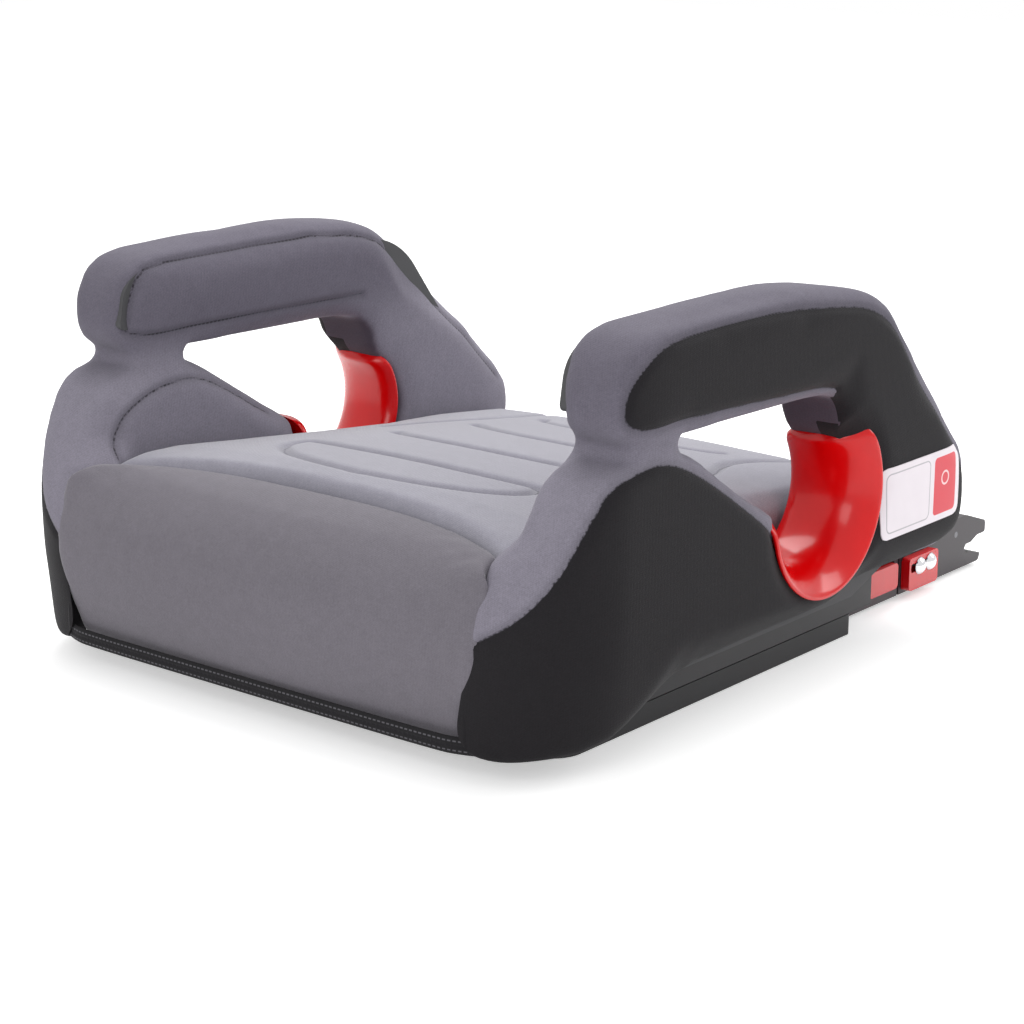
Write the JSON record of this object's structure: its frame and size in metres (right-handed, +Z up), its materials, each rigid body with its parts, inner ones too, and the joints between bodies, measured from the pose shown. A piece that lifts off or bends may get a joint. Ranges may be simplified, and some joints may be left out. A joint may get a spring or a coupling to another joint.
{
  "type": "booster seat",
  "caption": "Backless padded booster seat with forked armrests, red lap belt guides and sliding anchor connectors with red release buttons.",
  "frame": {"origin": "middle of the base tray's underside", "axes": "+X to the sitter's left, -Y to the front of the seat, +Z up"},
  "size_m": [0.4295, 0.5415, 0.238],
  "materials": {
    "base_plastic": "fine grained moulding",
    "case_plastic": "fine grained moulding",
    "core_plastic": "moulded foam skin",
    "red_plastic": "gloss",
    "charcoal_fabric": "knitted",
    "grey_fabric": "knitted",
    "seat_fabric": "knitted, quilted",
    "binding_fabric": "woven tape",
    "label_film": "satin film",
    "arm_steel": "zinc plated",
    "fastener_steel": "zinc plated",
    "spring_steel": "drawn wire",
    "rivet_chrome": "polished"
  },
  "bodies": {
    "root": {"base_tray": "base_plastic", "upper_shell": "base_plastic", "base_screws": "fastener_steel", "side_core_left": "core_plastic", "side_core_right": "core_plastic", "side_cover_left": "charcoal_fabric", "side_cover_right": "charcoal_fabric", "seat_cushion": "seat_fabric", "front_pad": "grey_fabric", "rear_pad": "charcoal_fabric", "cover_binding": "binding_fabric", "information_label": "label_film", "belt_guide_left": "red_plastic", "belt_guide_right": "red_plastic", "slide_case_left": "case_plastic", "slide_case_right": "case_plastic", "adjust_spring_left": "spring_steel", "adjust_spring_right": "spring_steel"},
    "connector_left": {"connector_arm_left": "arm_steel", "connector_housing_left": "case_plastic", "side_rivets_left": "rivet_chrome", "hook_pin_left": "fastener_steel", "release_spring_left": "spring_steel"},
    "adjust_left": {"adjust_button_left": "red_plastic"},
    "release_left": {"release_slider_left": "red_plastic"},
    "latch_left": {"latch_hook_left": "arm_steel"},
    "connector_right": {"connector_arm_right": "arm_steel", "connector_housing_right": "case_plastic", "side_rivets_right": "rivet_chrome", "hook_pin_right": "fastener_steel", "release_spring_right": "spring_steel"},
    "adjust_right": {"adjust_button_right": "red_plastic"},
    "release_right": {"release_slider_right": "red_plastic"},
    "latch_right": {"latch_hook_right": "arm_steel"}
  },
  "joints": [
    {"name": "connector_slide_left", "type": "slide", "parent": "root", "child": "connector_left", "axis": [0, 1, 0], "range_m": [0, 0.07]},
    {"name": "adjust_press_left", "type": "slide", "parent": "root", "child": "adjust_left", "axis": [-1, 0, 0], "range_m": [0, 0.004], "stiffness_N_per_m": 500, "springref_m": -0.002, "deforming": ["adjust_spring_left"]},
    {"name": "release_slide_left", "type": "slide", "parent": "connector_left", "child": "release_left", "axis": [0, 1, 0], "range_m": [0, 0.008], "stiffness_N_per_m": 300, "springref_m": -0.004, "deforming": ["release_spring_left"]},
    {"name": "latch_turn_left", "type": "hinge", "parent": "connector_left", "child": "latch_left", "pos_m": [0.14, 0.296, 0.027], "axis": [-1, 0, 0], "range_deg": [0, 25]},
    {"name": "connector_slide_right", "type": "slide", "parent": "root", "child": "connector_right", "axis": [0, 1, 0], "range_m": [0, 0.07]},
    {"name": "adjust_press_right", "type": "slide", "parent": "root", "child": "adjust_right", "axis": [1, 0, 0], "range_m": [0, 0.004], "stiffness_N_per_m": 500, "springref_m": -0.002, "deforming": ["adjust_spring_right"]},
    {"name": "release_slide_right", "type": "slide", "parent": "connector_right", "child": "release_right", "axis": [0, 1, 0], "range_m": [0, 0.008], "stiffness_N_per_m": 300, "springref_m": -0.004, "deforming": ["release_spring_right"]},
    {"name": "latch_turn_right", "type": "hinge", "parent": "connector_right", "child": "latch_right", "pos_m": [-0.14, 0.296, 0.027], "axis": [-1, 0, 0], "range_deg": [0, 25]}
  ],
  "couplings": [
    {"joint": "latch_turn_left", "follows": "release_slide_left", "rad_per_m": 54.5},
    {"joint": "latch_turn_right", "follows": "release_slide_right", "rad_per_m": 54.5}
  ]
}
